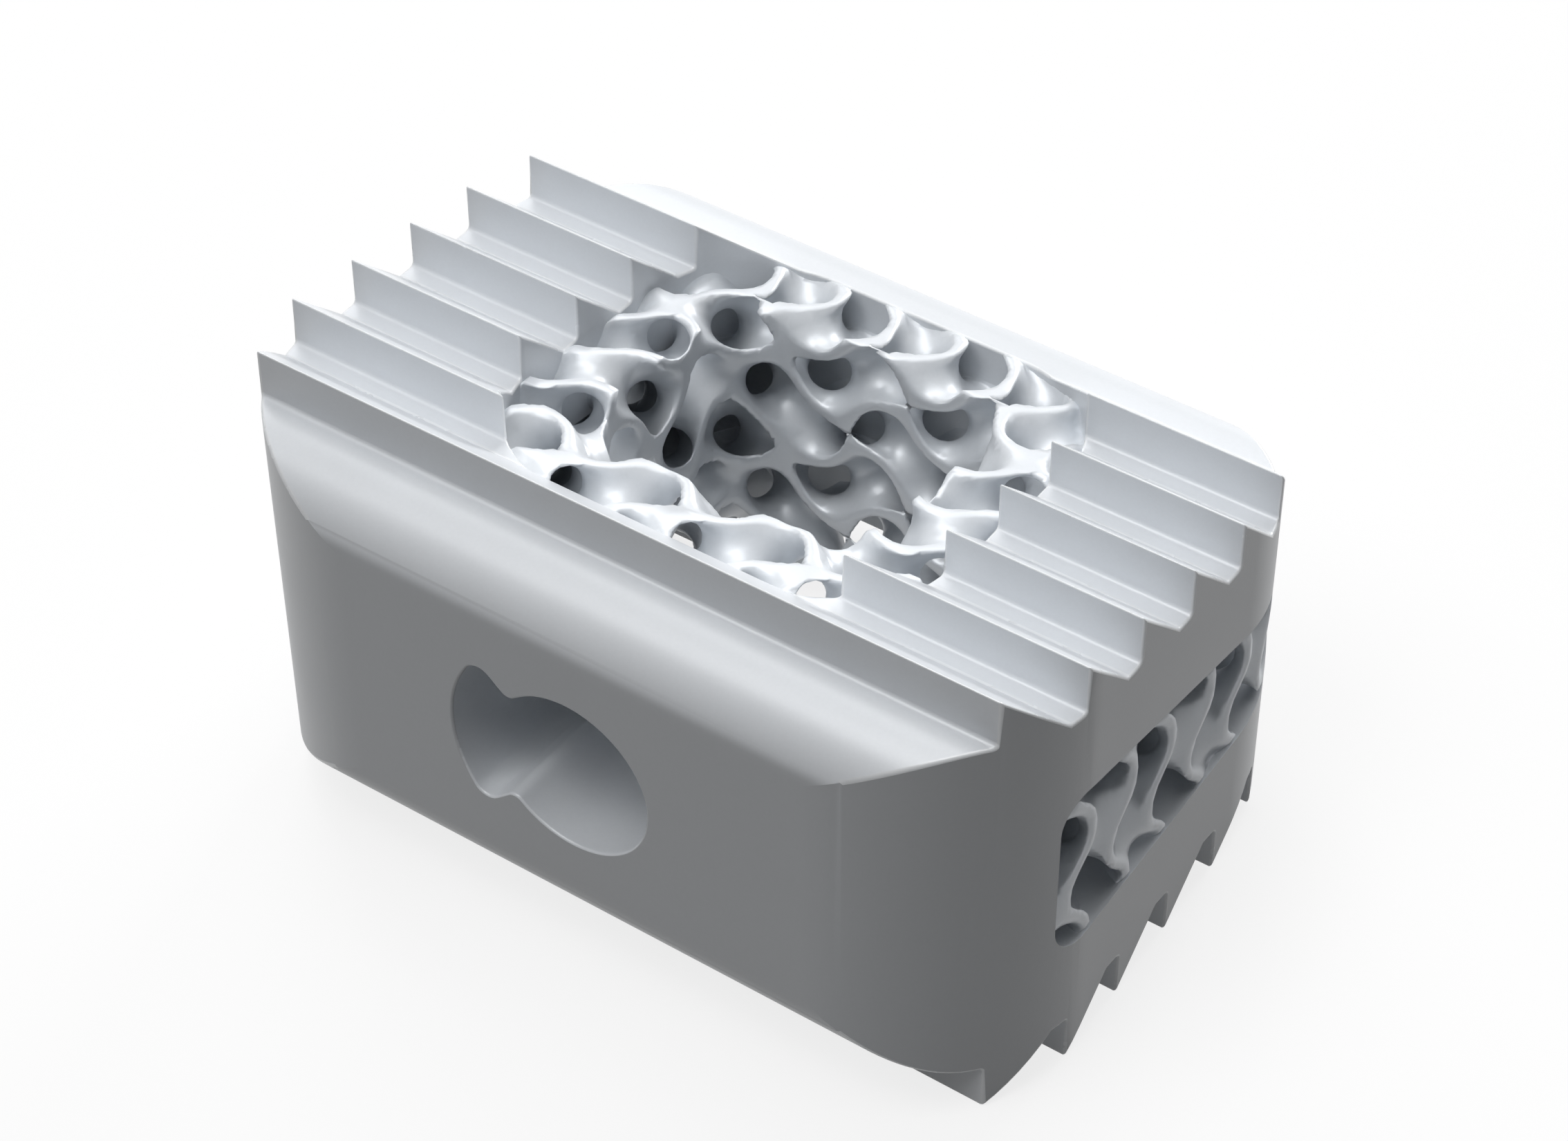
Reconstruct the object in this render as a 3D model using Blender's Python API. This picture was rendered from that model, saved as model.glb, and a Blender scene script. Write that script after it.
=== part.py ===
"""Spinal interbody cage, one printed titanium piece.

A wedge-shaped block carries six sharp teeth on its upper and lower face. A central
chamber is filled with a ring of gyroid lattice round the open graft window, and the
same lattice shows in a slot through each side. The front wall holds the inserter
bore with its key lobe.

The block is drawn symmetrical about its mid-plane: +X along the teeth, +Y from the
front wall to the back wall, +Z up. It is then turned so that its lower teeth rest on
the ground.
"""

import itertools
import math

import bmesh
import bpy
import numpy as np

MM = 0.001

# Block
WIDTH = 16.0
DEPTH = 11.5
FRONT_HEIGHT = 9.63
WEDGE_ANGLE = math.radians(12.3)
CORNER_RADIUS = 3.35
FRONT_FILLET = 1.25
BACK_FILLET = 0.65

# Teeth, from the shoulder behind the front fillet to the back fillet
FRONT_SHOULDER = 0.13
TOOTH_PITCH = 1.58
TOOTH_HEIGHT = 0.95
GROOVE_DIP = 0.05
GROOVE_FLOOR = 0.38
TOOTH_LAND = 0.05

# Chamber and graft window
FRONT_WALL = 2.5
BACK_WALL = 1.0
SIDE_WALL = 3.7
CHAMBER_RADIUS = 2.3
RING_WIDTH = 1.5
WINDOW_RADIUS = 1.25

# Side slots, as long as the chamber; the solid rail over them is measured from the tips
SLOT_RAIL = 2.75
SLOT_RADIUS = 0.7

# Inserter bore in the front wall
BORE_RADIUS = 1.58
KEY_RADIUS = 2.45
KEY_HALF_ANGLE = math.radians(41.0)
KEY_CORNER_RADIUS = 0.3
KEY_NOTCH_RADIUS = 0.22

# Gyroid lattice, whose flat top and bottom are measured from the tips
LATTICE_CELL = 2.47
LATTICE_WALL = 0.22
LATTICE_PHASE = (0.0, 0.3563, -0.1781)
LATTICE_TOP = 0.92
LATTICE_SAMPLES = 8
SAMPLE_OFFSET = 0.5
SAMPLE_MARGIN = 2.5
LATTICE_KEEP = 0.05
FACE_COUNT = 12400

# Fineness of the round stretches
CORNER_STEPS = 10
FILLET_STEPS = 7
BORE_STEPS = 32
SLOT_STEPS = 4
KEY_STEPS = 6
KEY_CORNER_STEPS = 3
LARGEST_CORNER_SHARE = 0.48
SHARP_EDGE_ANGLE = math.radians(35.0)

# How far cutters reach past what they cut, and how far the core enters the walls
OVERRUN = 1.0
CORE_EMBED = 0.05
PORE_OVERRUN = 0.3
BORE_OVERRUN = 0.1
SKIN = 0.001

MEAN_GYROID_SLOPE = 1.5
TILT = WEDGE_ANGLE / 2
FIRST_TOOTH = FRONT_FILLET + FRONT_SHOULDER
FACE_SPACING = TOOTH_PITCH * math.cos(TILT)
CHAMBER_BACK = DEPTH - BACK_WALL
CHAMBER_HALF_WIDTH = WIDTH / 2 - SIDE_WALL

METAL_COLOUR = (0.60, 0.62, 0.64, 1.0)
METAL_ROUGHNESS = 0.38


def clear_scene():
    """Remove every object that is already there."""
    for item in list(bpy.data.objects):
        bpy.data.objects.remove(item, do_unlink=True)


def arc(centre, radius, start, end, steps):
    """Points of an arc, both ends included, with angles in radians."""
    points = []
    for index in range(steps + 1):
        angle = start + (end - start) * index / steps
        points.append((centre[0] + radius * math.cos(angle), centre[1] + radius * math.sin(angle)))
    return points


def rounded_outline(corners, radius, steps):
    """Counter-clockwise outline through convex corners, each one rounded.

    No corner takes more than nearly half of the shorter side beside it.
    """
    points = []
    for index, corner in enumerate(corners):
        before = np.subtract(corners[index - 1], corner)
        after = np.subtract(corners[(index + 1) % len(corners)], corner)
        shorter = min(np.linalg.norm(before), np.linalg.norm(after))
        before = before / np.linalg.norm(before)
        after = after / np.linalg.norm(after)
        half = math.acos(float(np.dot(before, after))) / 2
        size = min(radius, LARGEST_CORNER_SHARE * shorter * math.tan(half))
        middle = (before + after) / np.linalg.norm(before + after)
        centre = np.add(corner, middle * size / math.sin(half))
        turn = math.pi - 2 * half
        outward = math.atan2(-middle[1], -middle[0])
        points += arc(centre, size, outward - turn / 2, outward + turn / 2, steps)
    return points


def box_corners(x_low, x_high, y_low, y_high):
    """Corners of a rectangle, counter-clockwise."""
    return [(x_low, y_low), (x_high, y_low), (x_high, y_high), (x_low, y_high)]


def new_object(name, mesh):
    """Put a mesh into the scene as an object."""
    item = bpy.data.objects.new(name, mesh)
    bpy.context.collection.objects.link(item)
    return item


def prism(name, outline, low, high, axis):
    """Extrude a counter-clockwise outline, in millimetres, along X, Y or Z."""
    places = {
        "X": lambda u, v, w: (w, u, v),
        "Y": lambda u, v, w: (v, w, u),
        "Z": lambda u, v, w: (u, v, w),
    }
    place = places[axis]
    form = bmesh.new()
    base = [form.verts.new([MM * c for c in place(u, v, low)]) for u, v in outline]
    face = form.faces.new(reversed(base))
    grown = bmesh.ops.extrude_face_region(form, geom=[face])
    shift = [MM * c for c in place(0.0, 0.0, high - low)]
    moved = [item for item in grown["geom"] if isinstance(item, bmesh.types.BMVert)]
    bmesh.ops.translate(form, verts=moved, vec=shift)
    bmesh.ops.recalc_face_normals(form, faces=form.faces)
    mesh = bpy.data.meshes.new(name)
    form.to_mesh(mesh)
    form.free()
    return new_object(name, mesh)


def apply_modifier(item, modifier):
    """Replace the object's mesh by what the modifier makes of it."""
    graph = bpy.context.evaluated_depsgraph_get()
    mesh = bpy.data.meshes.new_from_object(item.evaluated_get(graph))
    item.modifiers.remove(modifier)
    item.data = mesh


def thin_out(item, share, group=""):
    """Keep a share of the triangles, the ones that the form needs most."""
    modifier = item.modifiers.new("Thin", "DECIMATE")
    modifier.ratio = share
    modifier.vertex_group = group
    apply_modifier(item, modifier)


def combine(item, tool, operation, solver="EXACT"):
    """Join, cut or intersect an object with a tool body, which is then removed."""
    modifier = item.modifiers.new(operation.title(), "BOOLEAN")
    modifier.operation = operation
    modifier.solver = solver
    modifier.object = tool
    apply_modifier(item, modifier)
    bpy.data.objects.remove(tool, do_unlink=True)


def tip_height(y):
    """Height of the plane of the tooth tips over the mid-plane."""
    return FRONT_HEIGHT / 2 - y * math.tan(TILT)


def upper_profile():
    """Side view of the upper half, from the front wall to the back wall.

    It holds as many teeth as fit before the back fillet.
    """
    shoulder = tip_height(FIRST_TOOTH) - TOOTH_HEIGHT
    points = arc(
        (FRONT_FILLET, shoulder - FRONT_FILLET), FRONT_FILLET, math.pi, math.pi / 2, FILLET_STEPS
    )
    back = DEPTH - BACK_FILLET
    face = FIRST_TOOTH
    while face + FACE_SPACING < back:
        groove = face + FACE_SPACING - GROOVE_FLOOR
        points.append((face, tip_height(face) - TOOTH_HEIGHT))
        points.append((face, tip_height(face)))
        points.append((face + TOOTH_LAND, tip_height(face + TOOTH_LAND)))
        points.append((groove, tip_height(groove) - TOOTH_HEIGHT - GROOVE_DIP))
        face += FACE_SPACING
    points.append((face, tip_height(face) - TOOTH_HEIGHT))
    shelf = tip_height(back) - TOOTH_HEIGHT
    points += arc((back, shelf - BACK_FILLET), BACK_FILLET, math.pi / 2, 0.0, FILLET_STEPS)
    return points


def block():
    """The toothed wedge with its rounded upright corners."""
    upper = upper_profile()
    lower = [(y, -z) for y, z in upper]
    outline = lower + upper[::-1]
    body = prism("interbody_cage", outline, -WIDTH / 2 - OVERRUN, WIDTH / 2 + OVERRUN, "X")
    plan = rounded_outline(box_corners(-WIDTH / 2, WIDTH / 2, 0.0, DEPTH), CORNER_RADIUS, CORNER_STEPS)
    combine(body, prism("plan", plan, -FRONT_HEIGHT, FRONT_HEIGHT, "Z"), "INTERSECT")
    return body


def chamber_outline(offset, radius):
    """Plan of the chamber, grown by an offset."""
    half = CHAMBER_HALF_WIDTH + offset
    corners = box_corners(-half, half, FRONT_WALL - offset, CHAMBER_BACK + offset)
    return rounded_outline(corners, radius, CORNER_STEPS)


def upright_prism(name, outline):
    """A cutter along Z, longer than the block is high."""
    return prism(name, outline, -FRONT_HEIGHT, FRONT_HEIGHT, "Z")


def slab(name, depth):
    """The layer between two planes at the same depth under the upper and lower tips."""
    ends = (-OVERRUN, DEPTH + OVERRUN)
    lower = [(y, depth - tip_height(y)) for y in ends]
    upper = [(y, tip_height(y) - depth) for y in reversed(ends)]
    return prism(name, lower + upper, -WIDTH, WIDTH, "X")


def refill_chamber(body):
    """Open the chamber through the teeth, then fill it up to the lattice's top."""
    combine(body, upright_prism("chamber", chamber_outline(0.0, CHAMBER_RADIUS)), "DIFFERENCE")
    core = upright_prism("core", chamber_outline(CORE_EMBED, CHAMBER_RADIUS + CORE_EMBED))
    combine(core, slab("core_height", LATTICE_TOP), "INTERSECT")
    combine(body, core, "UNION")


def cut_graft_window(body):
    """Cut the graft window from top to bottom, a ring's width inside the chamber."""
    window = upright_prism("window", chamber_outline(-RING_WIDTH, WINDOW_RADIUS))
    combine(body, window, "DIFFERENCE")


def slot_outline():
    """Side view of the slots, whose edges run along the planes of the tips."""
    front = tip_height(FRONT_WALL) - SLOT_RAIL
    back = tip_height(CHAMBER_BACK) - SLOT_RAIL
    lower = [(FRONT_WALL, -front), (CHAMBER_BACK, -back)]
    upper = [(CHAMBER_BACK, back), (FRONT_WALL, front)]
    return rounded_outline(lower + upper, SLOT_RADIUS, SLOT_STEPS)


def lattice_region():
    """The space that holds pores: the chamber with a passage out through each side."""
    region = upright_prism("region", chamber_outline(0.0, CHAMBER_RADIUS))
    combine(region, slab("region_height", LATTICE_TOP - PORE_OVERRUN), "INTERSECT")
    half = WIDTH / 2 + OVERRUN
    combine(region, prism("passage", slot_outline(), -half, half, "X"), "UNION")
    return region


def key_outline():
    """Front view of the bore with its key lobe towards -X, as (z, x) pairs.

    The lobe's outer corners are rounded, and so are the edges where it meets the bore.
    """
    start = 3 * math.pi / 2 - KEY_HALF_ANGLE
    end = 3 * math.pi / 2 + KEY_HALF_ANGLE
    full, half, quarter = 2 * math.pi, math.pi, math.pi / 2
    notch_reach = BORE_RADIUS + KEY_NOTCH_RADIUS
    notch_turn = math.asin(KEY_NOTCH_RADIUS / notch_reach)
    corner_reach = KEY_RADIUS - KEY_CORNER_RADIUS
    corner_turn = math.asin(KEY_CORNER_RADIUS / corner_reach)

    def fillet(reach, angle, radius, first, last):
        place = (reach * math.cos(angle), reach * math.sin(angle))
        return arc(place, radius, first, last, KEY_CORNER_STEPS)

    centre = (0.0, 0.0)
    first_side = start - notch_turn
    last_side = end + notch_turn
    points = arc(centre, BORE_RADIUS, last_side - full, first_side, BORE_STEPS)[1:-1]
    points += fillet(notch_reach, first_side, KEY_NOTCH_RADIUS, first_side + half, start + quarter)
    first_turn = start + corner_turn
    last_turn = end - corner_turn
    points += fillet(corner_reach, first_turn, KEY_CORNER_RADIUS, start - quarter, first_turn)
    points += arc(centre, KEY_RADIUS, first_turn, last_turn, KEY_STEPS)[1:-1]
    points += fillet(corner_reach, last_turn, KEY_CORNER_RADIUS, last_turn, end + quarter)
    points += fillet(notch_reach, last_side, KEY_NOTCH_RADIUS, end - quarter, last_side - half)
    return points


def cut_inserter_bore(body):
    """Cut the bore and its key lobe through the front wall into the chamber."""
    bore = prism("bore", key_outline(), -OVERRUN, FRONT_WALL + BORE_OVERRUN, "Y")
    combine(body, bore, "DIFFERENCE")


def lattice_origin():
    """Corner of a lattice cell, from which the pattern is laid out."""
    centre = (0.0, (FRONT_WALL + CHAMBER_BACK) / 2, 0.0)
    return np.add(centre, np.multiply(LATTICE_PHASE, LATTICE_CELL))


def gyroid(points):
    """Gyroid field and its gradient at points given in millimetres."""
    turn = 2 * math.pi / LATTICE_CELL
    local = (points - lattice_origin()) * turn * (1.0, -1.0, 1.0)
    sine = np.sin(local)
    cosine = np.cos(local)
    ahead = np.roll(cosine, -1, axis=-1)
    behind = np.roll(sine, 1, axis=-1)
    value = (sine * ahead).sum(axis=-1)
    gradient = (cosine * ahead - behind * sine) * turn * (1.0, -1.0, 1.0)
    return value, gradient


def core_grid():
    """Grid of nodes round the lattice's space, in step with the lattice cells.

    The nodes lie off the corners of the cells, where the pattern is symmetrical.
    """
    step = LATTICE_CELL / LATTICE_SAMPLES
    margin = SAMPLE_MARGIN * step
    half = WIDTH / 2 + margin
    top = tip_height(FRONT_WALL) - LATTICE_TOP + margin
    origin = lattice_origin() + SAMPLE_OFFSET * step
    first = np.floor((np.array((-half, FRONT_WALL - margin, -top)) - origin) / step)
    last = np.ceil((np.array((half, CHAMBER_BACK + margin, top)) - origin) / step)
    axes = [origin[axis] + step * np.arange(first[axis], last[axis] + 1) for axis in range(3)]
    return np.stack(np.meshgrid(*axes, indexing="ij"), axis=-1)


def tetrahedra(counts):
    """Node numbers of the six tetrahedra that each cell of a grid is split into."""
    number = np.arange(np.prod(counts)).reshape(counts)
    groups = []
    for order in itertools.permutations(range(3)):
        offset = [0, 0, 0]
        path = [tuple(offset)]
        for axis in order:
            offset[axis] = 1
            path.append(tuple(offset))
        nodes = []
        for place in path:
            window = tuple(slice(place[axis], counts[axis] - 1 + place[axis]) for axis in range(3))
            nodes.append(number[window].ravel())
        groups.append(np.stack(nodes, axis=1))
    return np.concatenate(groups)


def crossing_faces(cells, inside):
    """Faces of the surface, each corner given by the two grid nodes on either side of it."""
    flags = inside[cells]
    order = np.argsort(~flags, axis=1, kind="stable")
    cells = np.take_along_axis(cells, order, axis=1)
    amount = flags.sum(axis=1)
    one, two, three = (cells[amount == wanted] for wanted in (1, 2, 3))
    triangles = np.concatenate((
        one[:, [[0, 1], [0, 2], [0, 3]]],
        three[:, [[3, 0], [3, 1], [3, 2]]],
    ))
    quads = two[:, [[0, 2], [0, 3], [1, 3], [1, 2]]]
    return triangles, quads


def pore_network(name, side):
    """One of the two labyrinths of pores, as a closed body.

    The body fills the space where the gyroid field, on the given side, is beyond half
    the lattice wall. It is found on a grid of tetrahedra, and its corners are then moved
    onto the true surface.
    """
    level = 0.5 * LATTICE_WALL * MEAN_GYROID_SLOPE * 2 * math.pi / LATTICE_CELL
    nodes = core_grid()
    counts = nodes.shape[:3]
    shell = np.ones(counts, bool)
    shell[1:-1, 1:-1, 1:-1] = False
    field = np.where(shell, -1.0, side * gyroid(nodes)[0] - level).ravel()
    nodes = nodes.reshape(-1, 3)

    triangles, quads = crossing_faces(tetrahedra(counts), field > 0.0)
    pairs = np.sort(np.concatenate((triangles.reshape(-1, 2), quads.reshape(-1, 2))), axis=1)
    edges, number = np.unique(pairs, axis=0, return_inverse=True)
    number = number.ravel()
    near, far = field[edges[:, 0]], field[edges[:, 1]]
    share = (near / (near - far))[:, None]
    corners = nodes[edges[:, 0]] * (1.0 - share) + nodes[edges[:, 1]] * share
    free = ~shell.ravel()[edges].any(axis=1)
    for _ in range(3):
        value, gradient = gyroid(corners)
        pull = (value - side * level) / (gradient ** 2).sum(axis=1)
        corners -= np.where(free, pull, 0.0)[:, None] * gradient

    split = 3 * len(triangles)
    faces = number[:split].reshape(-1, 3).tolist() + number[split:].reshape(-1, 4).tolist()
    mesh = bpy.data.meshes.new(name)
    mesh.from_pydata((corners * MM).tolist(), [], faces)
    form = bmesh.new()
    form.from_mesh(mesh)
    bmesh.ops.recalc_face_normals(form, faces=form.faces)
    form.to_mesh(mesh)
    form.free()
    return new_object(name, mesh)


def cut_pores(body):
    """Cut both labyrinths of pores, which leaves the gyroid wall between them."""
    for side in (1.0, -1.0):
        pores = pore_network("pores", side)
        thin_out(pores, LATTICE_KEEP)
        combine(pores, lattice_region(), "INTERSECT", "MANIFOLD")
        combine(body, pores, "DIFFERENCE", "MANIFOLD")


def under_side_faces(x, y):
    """Which points, given with x counted from the middle, lie under the skin of the sides."""
    past_x = np.maximum(x - (WIDTH / 2 - CORNER_RADIUS), 0.0)
    past_y = np.maximum(y - (DEPTH - CORNER_RADIUS), 0.0)
    return np.hypot(past_x, past_y) < CORNER_RADIUS - SKIN


def drop_loose_edges(item):
    """Delete edges that belong to no face."""
    form = bmesh.new()
    form.from_mesh(item.data)
    loose = [edge for edge in form.edges if not edge.link_faces]
    bmesh.ops.delete(form, geom=loose, context="EDGES")
    form.to_mesh(item.data)
    form.free()


def thin_lattice(body):
    """Thin out the facets of the lattice alone, down to the count for the whole body."""
    group = body.vertex_groups.new(name="lattice")
    places = np.array([vertex.co for vertex in body.data.vertices]) / MM
    x, y, z = np.abs(places[:, 0]), places[:, 1], np.abs(places[:, 2])
    under = tip_height(y) - z
    along = (y > FRONT_WALL - SKIN) & (y < CHAMBER_BACK + SKIN)
    chamber = (x < CHAMBER_HALF_WIDTH + SKIN) & (under > LATTICE_TOP - SKIN)
    passage = (x > CHAMBER_HALF_WIDTH - CHAMBER_RADIUS) & (under > SLOT_RAIL - SKIN)
    chosen = along & (chamber | passage) & under_side_faces(x, y)
    group.add(np.flatnonzero(chosen).tolist(), 1.0, "REPLACE")
    triangles = sum(len(face.vertices) - 2 for face in body.data.polygons)
    thin_out(body, FACE_COUNT / triangles, group.name)
    drop_loose_edges(body)


def titanium():
    """Satin light grey metal."""
    material = bpy.data.materials.new("titanium")
    material.use_nodes = True
    shader = material.node_tree.nodes["Principled BSDF"]
    shader.inputs["Base Color"].default_value = METAL_COLOUR
    shader.inputs["Metallic"].default_value = 1.0
    shader.inputs["Roughness"].default_value = METAL_ROUGHNESS
    return material


def stand_on_teeth(body):
    """Turn the wedge onto its lower teeth, with the origin under the middle of its box."""
    body.rotation_euler = (-TILT, 0.0, 0.0)
    bpy.context.view_layer.update()
    places = np.array([body.matrix_world @ vertex.co for vertex in body.data.vertices])
    low, high = places.min(axis=0), places.max(axis=0)
    body.location = (-(low[0] + high[0]) / 2, -(low[1] + high[1]) / 2, -low[2])


def build_cage():
    """Make the whole cage."""
    body = block()
    refill_chamber(body)
    cut_graft_window(body)
    cut_inserter_bore(body)
    cut_pores(body)
    thin_lattice(body)
    body.data.materials.clear()
    body.data.materials.append(titanium())
    body.data.shade_smooth()
    body.data.set_sharp_from_angle(angle=SHARP_EDGE_ANGLE)
    stand_on_teeth(body)
    return body


clear_scene()
build_cage()
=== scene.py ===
"""Looks of the spinal interbody cage: a toothed titanium wedge with a gyroid lattice core.

Every shape is made in the wedge's own frame, in millimetres: +X along the teeth, y from
the front wall to the back wall, z up from the mid-plane. The finished meshes are then
turned onto the lower teeth and written in metres, where the solids stand.
"""

from __future__ import annotations

import itertools
import logging
import math
from dataclasses import dataclass
from enum import Enum

import bmesh
import bpy
import numpy as np
from mathutils import Matrix, Vector


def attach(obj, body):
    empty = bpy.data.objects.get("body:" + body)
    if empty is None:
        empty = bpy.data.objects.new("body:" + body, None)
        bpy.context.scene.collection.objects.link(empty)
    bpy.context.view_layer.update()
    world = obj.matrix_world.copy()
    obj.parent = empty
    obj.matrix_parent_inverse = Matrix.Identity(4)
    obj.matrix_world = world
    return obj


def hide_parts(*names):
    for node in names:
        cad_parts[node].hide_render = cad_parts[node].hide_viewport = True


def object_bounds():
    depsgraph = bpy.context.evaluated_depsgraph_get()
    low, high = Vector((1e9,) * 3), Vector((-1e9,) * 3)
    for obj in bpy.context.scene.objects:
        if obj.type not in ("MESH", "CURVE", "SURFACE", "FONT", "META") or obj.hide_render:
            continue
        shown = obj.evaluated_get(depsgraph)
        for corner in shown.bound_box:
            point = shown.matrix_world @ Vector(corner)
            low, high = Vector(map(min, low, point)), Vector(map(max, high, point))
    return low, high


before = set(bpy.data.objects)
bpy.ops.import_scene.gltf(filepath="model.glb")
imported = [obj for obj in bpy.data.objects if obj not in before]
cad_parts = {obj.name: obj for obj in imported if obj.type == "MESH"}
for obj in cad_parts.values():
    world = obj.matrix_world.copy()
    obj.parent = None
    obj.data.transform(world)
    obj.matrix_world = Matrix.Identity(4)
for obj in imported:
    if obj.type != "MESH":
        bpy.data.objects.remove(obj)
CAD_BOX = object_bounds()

LOG = logging.getLogger("interbody_cage")

NODE = "interbody_cage"
BODY = "root"
MM = 0.001

WIDTH = 16.0
DEPTH = 11.5
FRONT_HEIGHT = 9.63
TILT = math.radians(12.3) / 2
CORNER_RADIUS = 3.35
STAND_PLACE = (0.0, -5.694388, 4.787289)

TOOTH_HEIGHT = 0.95
FRONT_WALL = 2.5
CHAMBER_BACK = 10.5
CHAMBER_HALF_WIDTH = 4.3
CHAMBER_RADIUS = 2.3
RING_WIDTH = 1.5
WINDOW_RADIUS = 1.25
SLOT_RAIL = 2.75
SLOT_RADIUS = 0.7
LATTICE_TOP = 0.92
OVERRUN = 1.0


class Face(Enum):
    """Which of the frame's materials a face takes: the edge's paler colour is a painted
    highlight, and the skin's darker upright faces are painted shade.
    """

    TEETH = 0
    EDGE = 1
    SKIN = 2


class Join(Enum):
    """What a tool body does to the body that it meets."""

    CUT = "DIFFERENCE"
    KEEP_SHARED = "INTERSECT"
    ADD = "UNION"


def tip_height(y: float | np.ndarray) -> float | np.ndarray:
    """Height of the plane of the tooth tips over the mid-plane.

    Args:
        y: Distance behind the front wall.

    Returns:
        The height, or an array of heights.
    """
    return FRONT_HEIGHT / 2 - y * math.tan(TILT)


def stand(item: bpy.types.Object) -> None:
    """Bring a finished mesh from the wedge's frame in millimetres to where the part stands.

    Its round edges have finer facets than the solid's, so a few corners would stand a
    hair outside the solid's box. They are held on it.

    Args:
        item: The object, whose own place stays at the origin.
    """
    turn = Matrix.Rotation(-TILT, 4, "X")
    place = Matrix.Translation(Vector(STAND_PLACE))
    item.data.transform(Matrix.Scale(MM, 4) @ place @ turn)
    corners = np.empty(3 * len(item.data.vertices))
    item.data.vertices.foreach_get("co", corners)
    held = np.clip(corners.reshape(-1, 3), *np.array(CAD_BOX))
    item.data.vertices.foreach_set("co", held.ravel())
    item.data.update()


class Bench:
    """The modelling steps that several shapes share."""

    WELD = 1e-5

    @staticmethod
    def clear_selection() -> None:
        """Deselect every object."""
        bpy.ops.object.select_all(action="DESELECT")

    @staticmethod
    def pick(item: bpy.types.Object) -> None:
        """Make one object the only selected and the active one.

        Args:
            item: The object to pick.
        """
        Bench.clear_selection()
        item.select_set(True)
        bpy.context.view_layer.objects.active = item

    @staticmethod
    def finish_form(item: bpy.types.Object, name: str) -> bpy.types.Object:
        """Name an object, write its place into its mesh and point its faces outwards.

        Args:
            item: The object, which is selected.
            name: Its new name.

        Returns:
            The same object.
        """
        item.name = name
        Bench.pick(item)
        bpy.ops.object.transform_apply(location=True, rotation=True, scale=True)
        bpy.ops.object.mode_set(mode="EDIT")
        bpy.ops.mesh.select_all(action="SELECT")
        bpy.ops.mesh.remove_doubles(threshold=Bench.WELD)
        bpy.ops.mesh.normals_make_consistent(inside=False)
        bpy.ops.object.mode_set(mode="OBJECT")
        return item

    @staticmethod
    def extruded(name: str, ring: list[Vector], run: Vector) -> bpy.types.Object:
        """Make a bar by drawing its end as a ring of corners and extruding it.

        Args:
            name: The object's name.
            ring: Corners of the end, in order round it.
            run: How far and which way the end is extruded.

        Returns:
            The closed bar.
        """
        Bench.clear_selection()
        bpy.ops.mesh.primitive_circle_add(vertices=len(ring), radius=1.0, fill_type="NGON")
        item = bpy.context.object
        for vertex, place in zip(item.data.vertices, ring):
            vertex.co = place
        bpy.ops.object.mode_set(mode="EDIT")
        bpy.ops.mesh.select_all(action="SELECT")
        bpy.ops.mesh.extrude_region_move(TRANSFORM_OT_translate={"value": tuple(run)})
        bpy.ops.object.mode_set(mode="OBJECT")
        return Bench.finish_form(item, name)

    @staticmethod
    def lofted(name: str, rings: list[list[Vector]]) -> bpy.types.Object:
        """Make a bar whose skin runs through several rings of equally many corners.

        Args:
            name: The object's name.
            rings: The rings, from the first end to the last end.

        Returns:
            The closed bar.
        """
        form = bmesh.new()
        loops = [[form.verts.new(place) for place in ring] for ring in rings]
        form.faces.new(loops[0])
        form.faces.new(loops[-1])
        for first, second in itertools.pairwise(loops):
            for index in range(len(first)):
                after = (index + 1) % len(first)
                form.faces.new((first[index], first[after], second[after], second[index]))
        bmesh.ops.recalc_face_normals(form, faces=form.faces)
        mesh = bpy.data.meshes.new(name)
        form.to_mesh(mesh)
        form.free()
        item = bpy.data.objects.new(name, mesh)
        bpy.context.scene.collection.objects.link(item)
        return item

    @staticmethod
    def rounded_bar(
        name: str, low: Vector, high: Vector, radius: float, steps: int, taper: float
    ) -> bpy.types.Object:
        """Make a box along X, tapered towards the back, and round its four long edges.

        Args:
            name: The object's name.
            low: Lowest corner.
            high: Highest corner.
            radius: Radius of the rounding.
            steps: Number of facets to each rounding.
            taper: How much lower the top, and higher the bottom, is at the back.

        Returns:
            The closed bar.
        """
        Bench.clear_selection()
        middle = (low + high) / 2
        bpy.ops.mesh.primitive_cube_add(size=1.0, location=middle, scale=high - low)
        item = bpy.context.object
        bpy.ops.object.transform_apply(location=True, rotation=True, scale=True)
        for vertex in item.data.vertices:
            if vertex.co.y > middle.y:
                vertex.co.z -= math.copysign(taper, vertex.co.z - middle.z)
        bpy.context.tool_settings.mesh_select_mode = (False, True, False)
        bpy.ops.object.mode_set(mode="EDIT")
        bpy.ops.mesh.select_all(action="DESELECT")
        bpy.ops.object.mode_set(mode="OBJECT")
        places = [vertex.co for vertex in item.data.vertices]
        for edge in item.data.edges:
            first, last = (places[index] for index in edge.vertices)
            edge.select = abs(first.x - last.x) > (high - low).x / 2
        bpy.ops.object.mode_set(mode="EDIT")
        bpy.ops.mesh.bevel(offset=radius, offset_type="OFFSET", segments=steps, affect="EDGES")
        bpy.ops.object.mode_set(mode="OBJECT")
        return Bench.finish_form(item, name)

    @staticmethod
    def combine(item: bpy.types.Object, tool: bpy.types.Object, how: Join) -> None:
        """Cut, keep or add with a tool body, which is then removed.

        Args:
            item: The body that is worked on.
            tool: The tool body.
            how: What the tool does.
        """
        Bench.pick(item)
        modifier = item.modifiers.new(how.name.title(), "BOOLEAN")
        modifier.operation = how.value
        modifier.solver = "EXACT"
        modifier.object = tool
        bpy.ops.object.modifier_apply(modifier=modifier.name)
        bpy.data.objects.remove(tool, do_unlink=True)


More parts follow.
